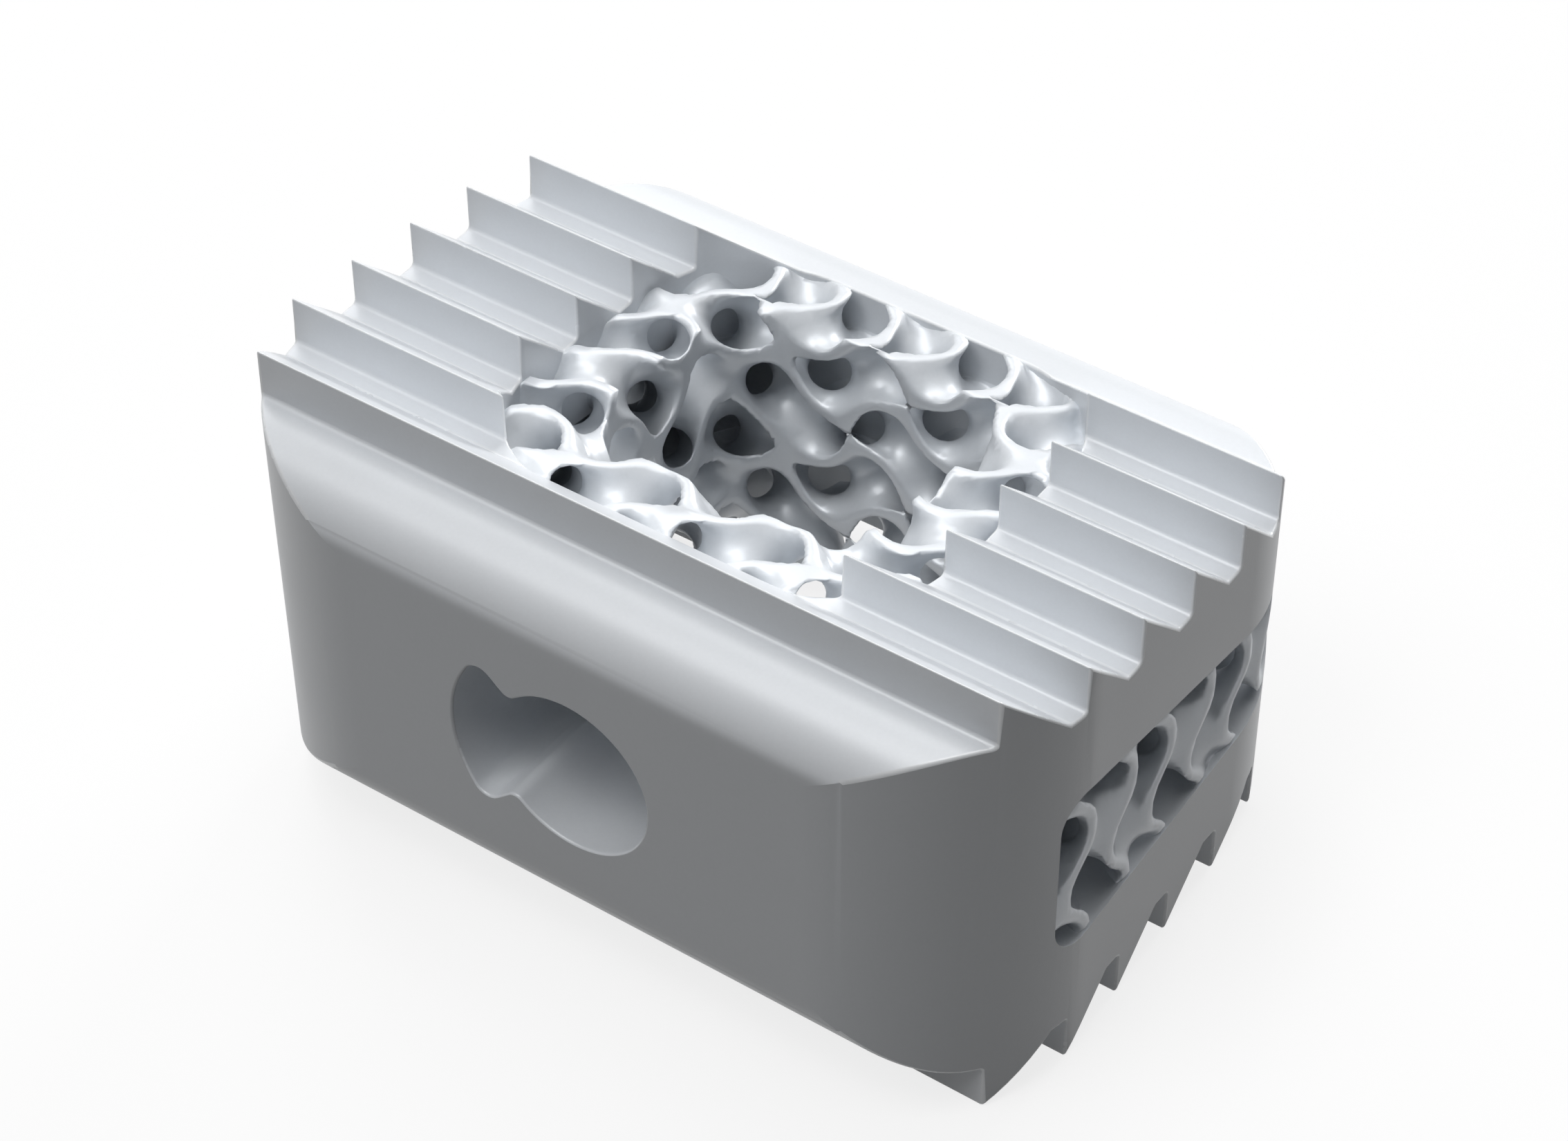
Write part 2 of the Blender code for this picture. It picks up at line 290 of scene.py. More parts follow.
@dataclass(frozen=True)
class BlastedTitanium:
    """Satin, bead-blasted titanium, which can also paint shade onto its upright faces."""

    name: str
    colour: tuple[float, float, float] = (0.725, 0.75, 0.78)
    metallic: float = 0.05
    roughness: float = 0.35
    grain: float = 0.5
    clouds: float = 0.5
    # Painted shade: upright faces are coloured darker by this factor, which fades to full colour
    # as the normal's Z rises through this range.
    painted_shade_factor: float = 1.0
    painted_shade_slope: tuple[float, float] = (0.2, 0.42)
    bump: float = 0.25
    bump_height: float = 0.004

    def material(self) -> bpy.types.Material:
        """Make the material.

        Returns:
            The material, ready for a mesh.
        """
        made = bpy.data.materials.new(self.name)
        made.use_nodes = True
        tree = made.node_tree
        shader = tree.nodes["Principled BSDF"]
        shader.inputs["Metallic"].default_value = self.metallic
        grain = tree.nodes.new("ShaderNodeGroup")
        grain.node_tree = BlastGrain.group()
        grain.inputs["Colour"].default_value = (*self.colour, 1.0)
        # Painted shade on the upright faces, when it is asked for.
        if self.painted_shade_factor < 1.0:
            tree.links.new(self.painted_shade_colour(tree), grain.inputs["Colour"])
        grain.inputs["Roughness"].default_value = self.roughness
        grain.inputs["Grain"].default_value = self.grain
        grain.inputs["Clouds"].default_value = self.clouds
        bump = tree.nodes.new("ShaderNodeBump")
        bump.inputs["Strength"].default_value = self.bump
        bump.inputs["Distance"].default_value = self.bump_height * MM
        tree.links.new(grain.outputs["Colour"], shader.inputs["Base Color"])
        tree.links.new(grain.outputs["Roughness"], shader.inputs["Roughness"])
        tree.links.new(grain.outputs["Height"], bump.inputs["Height"])
        tree.links.new(bump.outputs["Normal"], shader.inputs["Normal"])
        return made

    def painted_shade_colour(self, tree: bpy.types.NodeTree) -> bpy.types.NodeSocket:
        """Colour with painted shade: full where the surface looks up and darker where it stands
        upright.

        Args:
            tree: The node tree to build in.

        Returns:
            The colour.
        """
        facing = tree.nodes.new("ShaderNodeTexCoord")
        parts = tree.nodes.new("ShaderNodeSeparateXYZ")
        tree.links.new(facing.outputs["Normal"], parts.inputs["Vector"])
        slope = tree.nodes.new("ShaderNodeMapRange")
        slope.interpolation_type = "SMOOTHSTEP"
        slope.inputs["From Min"].default_value = self.painted_shade_slope[0]
        slope.inputs["From Max"].default_value = self.painted_shade_slope[1]
        slope.inputs["To Min"].default_value = self.painted_shade_factor
        tree.links.new(parts.outputs["Z"], slope.inputs["Value"])
        toned = tree.nodes.new("ShaderNodeVectorMath")
        toned.operation = "SCALE"
        toned.inputs[0].default_value = self.colour
        tree.links.new(slope.outputs["Result"], toned.inputs["Scale"])
        return toned.outputs[0]


class BlastGrain:
    """The fine, even grain that blasting leaves on printed metal."""

    NAME = "blast_grain"
    FINE_SCALE = 16000.0
    FINE_DETAIL = 3.0
    CLOUD_SCALE = 700.0
    CLOUD_DETAIL = 4.0
    TONE_SHARE = 0.10
    ROUGH_SHARE = 0.18

    @classmethod
    def group(cls) -> bpy.types.NodeTree:
        """The shader group, made once.

        Returns:
            A group that puts out colour, roughness and height.
        """
        found = bpy.data.node_groups.get(cls.NAME)
        if found:
            return found
        tree = bpy.data.node_groups.new(cls.NAME, "ShaderNodeTree")
        for label, kind, value in (
            ("Colour", "NodeSocketColor", (0.7, 0.7, 0.7, 1.0)),
            ("Roughness", "NodeSocketFloat", 0.4),
            ("Grain", "NodeSocketFloat", 0.5),
            ("Clouds", "NodeSocketFloat", 0.5),
        ):
            socket = tree.interface.new_socket(label, in_out="INPUT", socket_type=kind)
            socket.default_value = value
        for label, kind in (
            ("Colour", "NodeSocketColor"),
            ("Roughness", "NodeSocketFloat"),
            ("Height", "NodeSocketFloat"),
        ):
            tree.interface.new_socket(label, in_out="OUTPUT", socket_type=kind)
        nodes, links = tree.nodes, tree.links
        source = nodes.new("NodeGroupInput")
        sink = nodes.new("NodeGroupOutput")
        place = nodes.new("ShaderNodeTexCoord")

        def noise(scale: float, detail: float) -> bpy.types.Node:
            """A noise texture on the piece's own coordinates."""
            node = nodes.new("ShaderNodeTexNoise")
            node.inputs["Scale"].default_value = scale
            node.inputs["Detail"].default_value = detail
            links.new(place.outputs["Object"], node.inputs["Vector"])
            return node

        def spread(
            node: bpy.types.Node, amount: bpy.types.NodeSocket, share: float
        ) -> bpy.types.NodeSocket:
            """Centre a noise on zero and scale it by an amount."""
            centred = nodes.new("ShaderNodeMath")
            centred.operation = "SUBTRACT"
            centred.inputs[1].default_value = 0.5
            links.new(node.outputs["Fac"], centred.inputs[0])
            weight = nodes.new("ShaderNodeMath")
            weight.operation = "MULTIPLY"
            weight.inputs[1].default_value = share
            links.new(amount, weight.inputs[0])
            product = nodes.new("ShaderNodeMath")
            product.operation = "MULTIPLY"
            links.new(centred.outputs[0], product.inputs[0])
            links.new(weight.outputs[0], product.inputs[1])
            return product.outputs[0]

        fine = noise(cls.FINE_SCALE, cls.FINE_DETAIL)
        cloud = noise(cls.CLOUD_SCALE, cls.CLOUD_DETAIL)
        tone = nodes.new("ShaderNodeMath")
        tone.operation = "ADD"
        links.new(spread(fine, source.outputs["Grain"], cls.TONE_SHARE), tone.inputs[0])
        links.new(spread(cloud, source.outputs["Clouds"], cls.TONE_SHARE), tone.inputs[1])
        lift = nodes.new("ShaderNodeMath")
        lift.operation = "ADD"
        lift.inputs[1].default_value = 1.0
        links.new(tone.outputs[0], lift.inputs[0])
        colour = nodes.new("ShaderNodeVectorMath")
        colour.operation = "SCALE"
        links.new(source.outputs["Colour"], colour.inputs[0])
        links.new(lift.outputs[0], colour.inputs["Scale"])
        links.new(colour.outputs[0], sink.inputs["Colour"])
        rough = nodes.new("ShaderNodeMath")
        rough.operation = "ADD"
        links.new(source.outputs["Roughness"], rough.inputs[0])
        links.new(spread(cloud, source.outputs["Clouds"], cls.ROUGH_SHARE), rough.inputs[1])
        links.new(rough.outputs[0], sink.inputs["Roughness"])
        links.new(fine.outputs["Fac"], sink.inputs["Height"])
        return tree


def arc(
    centre: tuple[float, float], radius: float, start: float, end: float, steps: int
) -> list[tuple[float, float]]:
    """Points of an arc, both ends included.

    Args:
        centre: Centre of the arc.
        radius: Radius of the arc.
        start: First angle, in radians.
        end: Last angle, in radians.
        steps: Number of chords.

    Returns:
        The points, in order.
    """
    angles = [start + (end - start) * index / steps for index in range(steps + 1)]
    return [
        (centre[0] + radius * math.cos(angle), centre[1] + radius * math.sin(angle))
        for angle in angles
    ]


def rounded_box(
    u: np.ndarray, v: np.ndarray, half_u: float, half_v: float, radius: float
) -> np.ndarray:
    """Distance from a rectangle with rounded corners, negative inside it.

    Args:
        u: First coordinate, from the middle.
        v: Second coordinate, from the middle.
        half_u: Half the first side.
        half_v: Half the second side.
        radius: Corner radius.

    Returns:
        The distances.
    """
    past_u = np.abs(u) - (half_u - radius)
    past_v = np.abs(v) - (half_v - radius)
    return (
        np.hypot(np.maximum(past_u, 0.0), np.maximum(past_v, 0.0))
        + np.minimum(np.maximum(past_u, past_v), 0.0)
        - radius
    )


@dataclass
class ToothedFrame:
    """The solid wedge with its teeth, chamber, side slots and inserter bore."""

    face_materials: dict[Face, BlastedTitanium]
    front_fillet: float = 1.25
    back_fillet: float = 0.65
    front_shoulder: float = 0.13
    tooth_pitch: float = 1.58
    groove_dip: float = 0.05
    groove_floor: float = 0.38
    bore_radius: float = 1.58
    key_radius: float = 2.45
    key_half_angle: float = math.radians(41.0)
    key_corner_radius: float = 0.3
    key_notch_radius: float = 0.22
    root_round: float = 0.09
    edge_round: float = 0.05
    facet: float = math.radians(4.0)
    bore_facets: int = 90
    small_facets: int = 8
    edge_facets: int = 3
    edge_turn: float = math.radians(24.0)
    bore_overrun: float = 0.2
    same_place: float = 1e-6
    flat_width: float = 0.26
    joined_turn: float = math.radians(60.0)
    long_share: float = 0.5

    def upper_profile(self) -> list[tuple[float, float]]:
        """Side view of the upper half.

        Returns:
            Points as (y, z), from the front wall to the back wall.
        """
        quarter = math.pi / 2
        steps = round(quarter / self.facet)
        face = self.front_fillet + self.front_shoulder
        spacing = self.tooth_pitch * math.cos(TILT)
        shoulder = tip_height(face) - TOOTH_HEIGHT
        centre = (self.front_fillet, shoulder - self.front_fillet)
        points = arc(centre, self.front_fillet, 2 * quarter, quarter, steps)
        back = DEPTH - self.back_fillet
        before = (self.front_fillet, shoulder)
        while face + spacing < back:
            root = (face, tip_height(face) - TOOTH_HEIGHT)
            groove = face + spacing - self.groove_floor
            points += self.root_fillet(before, root)
            points.append((face, tip_height(face)))
            before = (groove, tip_height(groove) - TOOTH_HEIGHT - self.groove_dip)
            points.append(before)
            face += spacing
        points.append((face, tip_height(face) - TOOTH_HEIGHT))
        shelf = tip_height(back) - TOOTH_HEIGHT
        centre = (back, shelf - self.back_fillet)
        points += arc(centre, self.back_fillet, quarter, 0.0, steps)
        return points

    def root_fillet(
        self, before: tuple[float, float], root: tuple[float, float]
    ) -> list[tuple[float, float]]:
        """Small hollow round at the foot of a tooth's upright face.

        Args:
            before: The point that the surface in front of the tooth comes from.
            root: The corner that is rounded.

        Returns:
            Points as (y, z).
        """
        slope = math.atan2(root[1] - before[1], root[0] - before[0])
        turn = math.pi / 2 - slope
        reach = self.root_round * math.tan(turn / 2)
        centre = (root[0] - self.root_round, root[1] + reach)
        return arc(centre, self.root_round, slope - math.pi / 2, 0.0, self.small_facets // 2)

    def corner_turns(self, start: float, way: float, radius: float) -> list[float]:
        """Angles of the points along one rounded upright corner.

        The corner has a point wherever an edge of the side view crosses it, so that the
        edges of the teeth and of the corner meet point to point.

        Args:
            start: The y of the wall that the corner begins at.
            way: 1 where the corner runs backwards from that wall, -1 where forwards.
            radius: The corner's radius.

        Returns:
            Angles from 0 at the side to a right angle at the wall.
        """
        marks = {0.0, math.pi / 2}
        for y, _ in self.upper_profile():
            share = 1.0 - way * (y - start) / radius
            if 0.0 < share < 1.0:
                marks.add(math.asin(share))
        turns = sorted(marks)
        filled = [turns[0]]
        for first, last in itertools.pairwise(turns):
            count = math.ceil((last - first) / self.facet)
            filled += [first + (last - first) * index / count for index in range(1, count + 1)]
        return filled

    def upright_ring(
        self, half_width: float, front: float, back: float, radius: float
    ) -> list[Vector]:
        """Plan of a rounded rectangle.

        Args:
            half_width: Half its width.
            front: Its foremost y.
            back: Its rearmost y.
            radius: Radius of its corners.

        Returns:
            Corners in order round it, below the wedge.
        """
        marks = sorted({y for y, _ in self.upper_profile()})
        inner = half_width - radius
        ahead = self.corner_turns(front, 1.0, radius)
        behind = self.corner_turns(back, -1.0, radius)
        right = [(inner + radius * math.cos(turn), front + radius - radius * math.sin(turn))
                 for turn in reversed(ahead)]
        right += [(inner + radius * math.cos(turn), back - radius + radius * math.sin(turn))
                  for turn in behind]
        snapped = [(x, min(marks, key=lambda mark: abs(mark - y))) for x, y in right]
        right = [near if abs(near[1] - place[1]) < self.same_place else place
                 for near, place in zip(snapped, right)]
        left = [(-x, y) for x, y in reversed(right)]
        return [Vector((x, y, -FRONT_HEIGHT)) for x, y in right + left]

    def upright(
        self, name: str, half_width: float, front: float, back: float, radius: float
    ) -> bpy.types.Object:
        """A rounded upright bar, taller than the wedge."""
        ring = self.upright_ring(half_width, front, back, radius)
        return Bench.extruded(name, ring, Vector((0.0, 0.0, 2 * FRONT_HEIGHT)))

    def wedge(self) -> bpy.types.Object:
        """The toothed block with its rounded upright corners.

        Returns:
            The block, without its openings.
        """
        upper = self.upper_profile()
        outline = [(y, -z) for y, z in upper] + upper[::-1]
        edge = -WIDTH / 2 - OVERRUN
        ring = [Vector((edge, y, z)) for y, z in outline]
        block = Bench.extruded("toothed_frame", ring, Vector((-2 * edge, 0.0, 0.0)))
        plan = self.upright("plan", WIDTH / 2, 0.0, DEPTH, CORNER_RADIUS)
        Bench.combine(block, plan, Join.KEEP_SHARED)
        return block

    def chamber(self) -> bpy.types.Object:
        """The cutter of the chamber that the lattice fills."""
        return self.upright(
            "chamber", CHAMBER_HALF_WIDTH, FRONT_WALL, CHAMBER_BACK, CHAMBER_RADIUS
        )

    def slots(self) -> bpy.types.Object:
        """The cutter of the two side slots, whose edges run along the planes of the tips."""
        front = tip_height(FRONT_WALL) - SLOT_RAIL
        taper = tip_height(FRONT_WALL) - tip_height(CHAMBER_BACK)
        half = WIDTH / 2 + OVERRUN
        low = Vector((-half, FRONT_WALL, -front))
        high = Vector((half, CHAMBER_BACK, front))
        steps = round(math.pi / 2 / self.facet)
        return Bench.rounded_bar("slots", low, high, SLOT_RADIUS, steps, taper)

    def bore(self) -> bpy.types.Object:
        """The cutter of the inserter bore, with the rounded edge of its mouth.

        Returns:
            A bar whose ring shrinks to the bore's true size just behind the front wall.
        """
        stations = [(-OVERRUN, self.edge_round)]
        for index in range(self.edge_facets + 1):
            turn = math.pi / 2 * index / self.edge_facets
            depth = self.edge_round * (1.0 - math.cos(turn))
            stations.append((depth, self.edge_round * (1.0 - math.sin(turn))))
        stations.append((FRONT_WALL + self.bore_overrun, 0.0))
        rings = [
            [Vector((x, y, z)) for z, x in self.bore_outline(grow)] for y, grow in stations
        ]
        return Bench.lofted("bore", rings)

    def bore_outline(self, grow: float) -> list[tuple[float, float]]:
        """Front view of the bore and its key lobe towards -X.

        Args:
            grow: How far outside the true outline it lies.

        Returns:
            Points as (z, x), in order round the hole.
        """
        full, half, quarter = 2 * math.pi, math.pi, math.pi / 2
        start = 3 * quarter - self.key_half_angle
        end = 3 * quarter + self.key_half_angle
        notch_reach = self.bore_radius + self.key_notch_radius
        notch_turn = math.asin(self.key_notch_radius / notch_reach)
        corner_reach = self.key_radius - self.key_corner_radius
        corner_turn = math.asin(self.key_corner_radius / corner_reach)
        before, after = start - notch_turn, end + notch_turn
        first, last = start + corner_turn, end - corner_turn
        notch = (notch_reach, self.key_notch_radius - grow)
        corner = (corner_reach, self.key_corner_radius + grow)
        centre = (0.0, 0.0)

        def fillet(
            kind: tuple[float, float], angle: float, begin: float, finish: float
        ) -> list[tuple[float, float]]:
            """Small arc whose centre is given by its reach and angle."""
            place = (kind[0] * math.cos(angle), kind[0] * math.sin(angle))
            return arc(place, kind[1], begin, finish, self.small_facets)

        bore = arc(centre, self.bore_radius + grow, after - full, before, self.bore_facets)
        lobe = arc(centre, self.key_radius + grow, first, last, 2 * self.small_facets)
        points = bore[1:-1]
        points += fillet(notch, before, before + half, start + quarter)
        points += fillet(corner, first, start - quarter, first)
        points += lobe[1:-1]
        points += fillet(corner, last, last, end + quarter)
        points += fillet(notch, after, end - quarter, after - half)
        return points

    def soften_edges(self, item: bpy.types.Object) -> None:
        """Round the sharp edges a little.

        Args:
            item: The frame, which has its chamber but no slots and no bore yet.
        """
        Bench.pick(item)
        bevel = item.modifiers.new("Soft edges", "BEVEL")
        bevel.width = self.edge_round
        bevel.segments = self.edge_facets
        bevel.limit_method = "ANGLE"
        bevel.angle_limit = self.edge_turn
        bevel.use_clamp_overlap = False
        # The bevel strips take the edge material, whose paler colour is a painted highlight.
        bevel.material = Face.EDGE.value
        bpy.ops.object.modifier_apply(modifier=bevel.name)

    def give_skin_painted_shade(self, item: bpy.types.Object) -> None:
        """Give the outer skin the material that paints shade on its upright faces.

        Args:
            item: The frame, cut to its last shape but not yet stood on its teeth.
        """
        places = np.array([face.center for face in item.data.polygons])
        middle = DEPTH / 2
        skin = rounded_box(
            places[:, 0], places[:, 1] - middle, WIDTH / 2, middle, CORNER_RADIUS
        )
        rounded = (places[:, 1] < self.front_fillet) | (places[:, 1] > DEPTH - self.back_fillet)
        beside_bore = np.hypot(places[:, 0], places[:, 2]) < self.key_radius + self.edge_round
        in_bore = beside_bore & (places[:, 1] > self.edge_round) & (places[:, 1] < FRONT_WALL)
        outside = (skin > -self.edge_round) | (rounded & ~in_bore)
        for face, is_outside in zip(item.data.polygons, outside):
            if is_outside and face.material_index == Face.TEETH.value:
                face.material_index = Face.SKIN.value

    def is_flat(self, face: bmesh.types.BMFace) -> bool:
        """Whether a face is a flat one of the form, and not a narrow facet of a round one."""
        return face.calc_area() > self.flat_width * max(side.calc_length() for side in face.edges)

    def corner_facing(self, corner: bmesh.types.BMLoop, flat: set[int]) -> Vector:
        """Direction in which one corner of a face is shaded.

        A flat face keeps its own direction and gives it to the narrow facets along it.
        Between narrow facets the direction is their mean, weighed by their common edges.

        Args:
            corner: The corner of the face.
            flat: Numbers of the flat faces.

        Returns:
            The direction.
        """
        face = corner.face
        if face.index in flat:
            return face.normal.copy()
        sides = [(side, side.calc_length()) for side in (corner.edge, corner.link_loop_prev.edge)]
        longest = max(length for _, length in sides)
        blend = Vector()
        for side, length in sides:
            for other in side.link_faces:
                if face.normal.dot(other.normal) < math.cos(self.joined_turn):
                    continue
                if other.index in flat and length > self.long_share * longest:
                    return other.normal.copy()
                blend += length * other.normal
        return blend.normalized()

    def shade(self, item: bpy.types.Object) -> None:
        """Shade the flat faces flat and the round ones smooth.

        Args:
            item: The finished frame.
        """
        form = bmesh.new()
        form.from_mesh(item.data)
        flat = {face.index for face in form.faces if self.is_flat(face)}
        shown = [self.corner_facing(corner, flat) for face in form.faces for corner in face.loops]
        form.free()
        Bench.pick(item)
        bpy.ops.object.shade_smooth()
        item.data.normals_split_custom_set(shown)

    def build(self) -> bpy.types.Object:
        """Make the frame.

        Returns:
            The finished object, in the row's frame.
        """
        item = self.wedge()
        Bench.combine(item, self.chamber(), Join.CUT)
        for kind in Face:
            item.data.materials.append(self.face_materials[kind].material())
        self.soften_edges(item)
        Bench.combine(item, self.slots(), Join.CUT)
        Bench.combine(item, self.bore(), Join.CUT)
        self.give_skin_painted_shade(item)
        self.shade(item)
        stand(item)
        return item


def round_meet(a: np.ndarray, b: np.ndarray, radius: float) -> np.ndarray:
    """Distance from what two bodies share, with their common edge rounded.

    Args:
        a: Distance from the first body, negative inside it.
        b: Distance from the second body.
        radius: Radius of the rounded edge.

    Returns:
        The distances.
    """
    return np.minimum(np.maximum(a, b), -radius) + np.hypot(
        np.maximum(a + radius, 0.0), np.maximum(b + radius, 0.0)
    )


def round_join(a: np.ndarray, b: np.ndarray, radius: float) -> np.ndarray:
    """Distance from two joined bodies, with a fillet between them.

    Args:
        a: Distance from the first body, negative inside it.
        b: Distance from the second body.
        radius: Radius of the fillet.

    Returns:
        The distances.
    """
    return -round_meet(-a, -b, radius)


def eased(share: np.ndarray) -> np.ndarray:
    """Smooth step from 0 to 1.

    Args:
        share: How far along the step, clamped to its ends.

    Returns:
        The eased values.
    """
    held = np.clip(share, 0.0, 1.0)
    return held * held * (3.0 - 2.0 * held)


@dataclass
class GyroidLattice:
    """The printed lattice: the wall between the two labyrinths of a gyroid."""

    cell: float = 2.47
    wall: float = 0.22
    shift: tuple[float, float, float] = (0.0, 0.88, -0.44)
    mean_slope: float = 1.5
    rim_round: float = 0.055
    wall_fillet: float = 0.12
    seat: float = 0.02
    embed: float = 0.25
    dip: float = 0.13
    recess: float = 0.09
    sink_start: float = 0.6
    bore_clear: float = 2.6
    samples: int = 31
    pulls: int = 3
    probe: float = 0.004
    least_slope: float = 0.05
    longest_pull: float = 0.4
    tiny: float = 1e-9
    passes: int = 3
    triangles: int = 190000

    def sheet(self, points: np.ndarray) -> np.ndarray:
        """Distance from the gyroid wall.

        Args:
            points: Places, one to a row.

        Returns:
            The distances, negative inside the wall.
        """
        turn = 2 * math.pi / self.cell
        middle = np.array((0.0, (FRONT_WALL + CHAMBER_BACK) / 2, 0.0))
        local = (points - middle - self.shift) * turn * (1.0, -1.0, 1.0)
        x, y, z = local[..., 0], local[..., 1], local[..., 2]
        value = np.sin(x) * np.cos(y) + np.sin(y) * np.cos(z) + np.sin(z) * np.cos(x)
        return np.abs(value) / (self.mean_slope * turn) - self.wall / 2

    def field(self, points: np.ndarray) -> np.ndarray:
        """Distance from the lattice, trimmed to its space and rounded at its rims.

        Args:
            points: Places, one to a row.

        Returns:
            The distances, negative inside the lattice.
        """
        x, y, z = points[..., 0], points[..., 1], points[..., 2]
        middle = (FRONT_WALL + CHAMBER_BACK) / 2
        half_depth = (CHAMBER_BACK - FRONT_WALL) / 2
        upright = math.cos(TILT)
        chamber = rounded_box(x, y - middle, CHAMBER_HALF_WIDTH, half_depth, CHAMBER_RADIUS)
        top = (np.abs(z) - tip_height(y) + LATTICE_TOP) * upright
        rail = (np.abs(z) - tip_height(y) + SLOT_RAIL) * upright
        slot = round_meet(rail, np.abs(y - middle) - half_depth, SLOT_RADIUS)
        plan = rounded_box(x, y - DEPTH / 2, WIDTH / 2, DEPTH / 2, CORNER_RADIUS)
        window = rounded_box(
            x,
            y - middle,
            CHAMBER_HALF_WIDTH - RING_WIDTH,
            half_depth - RING_WIDTH,
            WINDOW_RADIUS,
        )
        walls = np.minimum(chamber, slot)
        sunk = eased(walls / (2 * self.seat + self.dip) + self.sink_start)
        skin = np.maximum(top + self.dip * sunk, plan + self.recess * sunk)
        skin = np.maximum(skin, -window)
        sheet = self.sheet(points)
        filled = round_join(sheet, self.seat - walls, self.wall_fillet)
        near = np.maximum(filled, sheet - self.wall_fillet)
        trimmed = round_meet(near, skin, self.rim_round)
        before_wall = np.where(np.hypot(x, z) < self.bore_clear, FRONT_WALL - y, -self.embed)
        return np.maximum(trimmed, np.maximum(walls - self.embed, before_wall))

    def surface(self) -> tuple[np.ndarray, np.ndarray]:
        """Find the surface on a grid of tetrahedra and move its corners onto the true form.

        Returns:
            The corners and the triangles.
        """
        step = self.cell / self.samples
        height = tip_height(FRONT_WALL) - LATTICE_TOP
        low = np.array((-WIDTH / 2, FRONT_WALL, -height)) - 2 * step
        high = np.array((WIDTH / 2, CHAMBER_BACK, height)) + 2 * step
        counts = np.ceil((high - low) / step).astype(int) + 1
        axes = [low[axis] + step * np.arange(counts[axis]) for axis in range(3)]
        nodes = np.stack(np.meshgrid(*axes, indexing="ij"), axis=-1)
        field = self.field(nodes).ravel()
        nodes = nodes.reshape(-1, 3)
        cells = self.crossed_cells(counts, field < 0.0)
        triangles = self.crossing_faces(cells, field < 0.0)
        pairs = np.sort(triangles.reshape(-1, 2), axis=1)
        edges, number = np.unique(pairs, axis=0, return_inverse=True)
        near, far = field[edges[:, 0]], field[edges[:, 1]]
        share = (near / (near - far))[:, None]
        corners = nodes[edges[:, 0]] * (1.0 - share) + nodes[edges[:, 1]] * share
        for _ in range(self.pulls):
            corners = self.pulled(corners, step)
        return corners, number.reshape(-1, 3)

    def pulled(self, corners: np.ndarray, step: float) -> np.ndarray:
        """Move points towards the true surface by one step of Newton's method.

        Args:
            corners: The points.
            step: Size of a grid cell, which limits the move.

        Returns:
            The moved points.
        """
        value = self.field(corners)
        slope = np.empty_like(corners)
        for axis in range(3):
            shift = np.zeros(3)
            shift[axis] = self.probe
            slope[:, axis] = self.field(corners + shift) - self.field(corners - shift)
        slope /= 2 * self.probe
        size = np.maximum((slope**2).sum(axis=1), self.least_slope)
        move = -(value / size)[:, None] * slope
        length = np.linalg.norm(move, axis=1, keepdims=True)
        longest = self.longest_pull * step
        return corners + move * np.minimum(1.0, longest / np.maximum(length, self.tiny))

    @staticmethod
    def crossed_cells(counts: np.ndarray, inside: np.ndarray) -> np.ndarray:
        """Split the cells that the surface crosses into tetrahedra.

        Args:
            counts: Number of grid nodes along each axis.
            inside: Which nodes lie inside the body.

        Returns:
            Node numbers of the tetrahedra, four to a row.
        """
        flags = inside.reshape(counts)
        places = list(itertools.product((0, 1), repeat=3))

        def corner(grid: np.ndarray, place: tuple[int, ...]) -> np.ndarray:
            """The grid's values at one corner of every cell."""
            window = tuple(slice(place[i], counts[i] - 1 + place[i]) for i in range(3))
            return grid[window]

        total = sum(corner(flags, place).astype(np.int8) for place in places)
        active = (total > 0) & (total < len(places))
        number = np.arange(flags.size).reshape(counts)
        groups = []
        for order in itertools.permutations(range(3)):
            place = [0, 0, 0]
            path = [tuple(place)]
            for axis in order:
                place[axis] = 1
                path.append(tuple(place))
            groups.append(np.stack([corner(number, spot)[active] for spot in path], axis=1))
        return np.concatenate(groups)

    @staticmethod
    def crossing_faces(cells: np.ndarray, inside: np.ndarray) -> np.ndarray:
        """Triangles of the surface, each corner given by the grid nodes on its two sides.

        Args:
            cells: Node numbers of the tetrahedra.
            inside: Which nodes lie inside the body.

        Returns:
            An array of triangles by corner by node.
        """
        flags = inside[cells]
        order = np.argsort(~flags, axis=1, kind="stable")
        cells = np.take_along_axis(cells, order, axis=1)
        amount = flags.sum(axis=1)
        one, two, three = (cells[amount == wanted] for wanted in (1, 2, 3))
        return np.concatenate(
            (
                one[:, [[0, 1], [0, 2], [0, 3]]],
                three[:, [[3, 0], [3, 1], [3, 2]]],
                two[:, [[0, 2], [0, 3], [1, 3]]],
                two[:, [[0, 2], [1, 3], [1, 2]]],
            )
        )

    def build(self) -> bpy.types.Object:
        """Make the lattice.

        Returns:
            The finished object, in the row's frame.
        """
        corners, triangles = self.surface()
        LOG.info("lattice surface found: %d triangles", len(triangles))
        mesh = bpy.data.meshes.new("lattice_core")
        mesh.from_pydata(corners.tolist(), [], triangles.tolist())
        form = bmesh.new()
        form.from_mesh(mesh)
        bmesh.ops.recalc_face_normals(form, faces=form.faces)
        form.to_mesh(mesh)
        form.free()
        item = bpy.data.objects.new("lattice_core", mesh)
        bpy.context.scene.collection.objects.link(item)
        Bench.pick(item)
        even = item.modifiers.new("Even", "SMOOTH")
        even.iterations = self.passes
        bpy.ops.object.modifier_apply(modifier=even.name)
        thin = item.modifiers.new("Thin", "DECIMATE")
        thin.ratio = min(1.0, self.triangles / len(triangles))
        bpy.ops.object.modifier_apply(modifier=thin.name)
        bpy.ops.object.shade_smooth()
        stand(item)
        return item


@dataclass(frozen=True)
class SoftLamp:
    """A soft lamp, placed by its direction from the part."""

    name: str
    turn: float
    rise: float
    power: float
    size: float = 0.16
    reach: float = 0.3


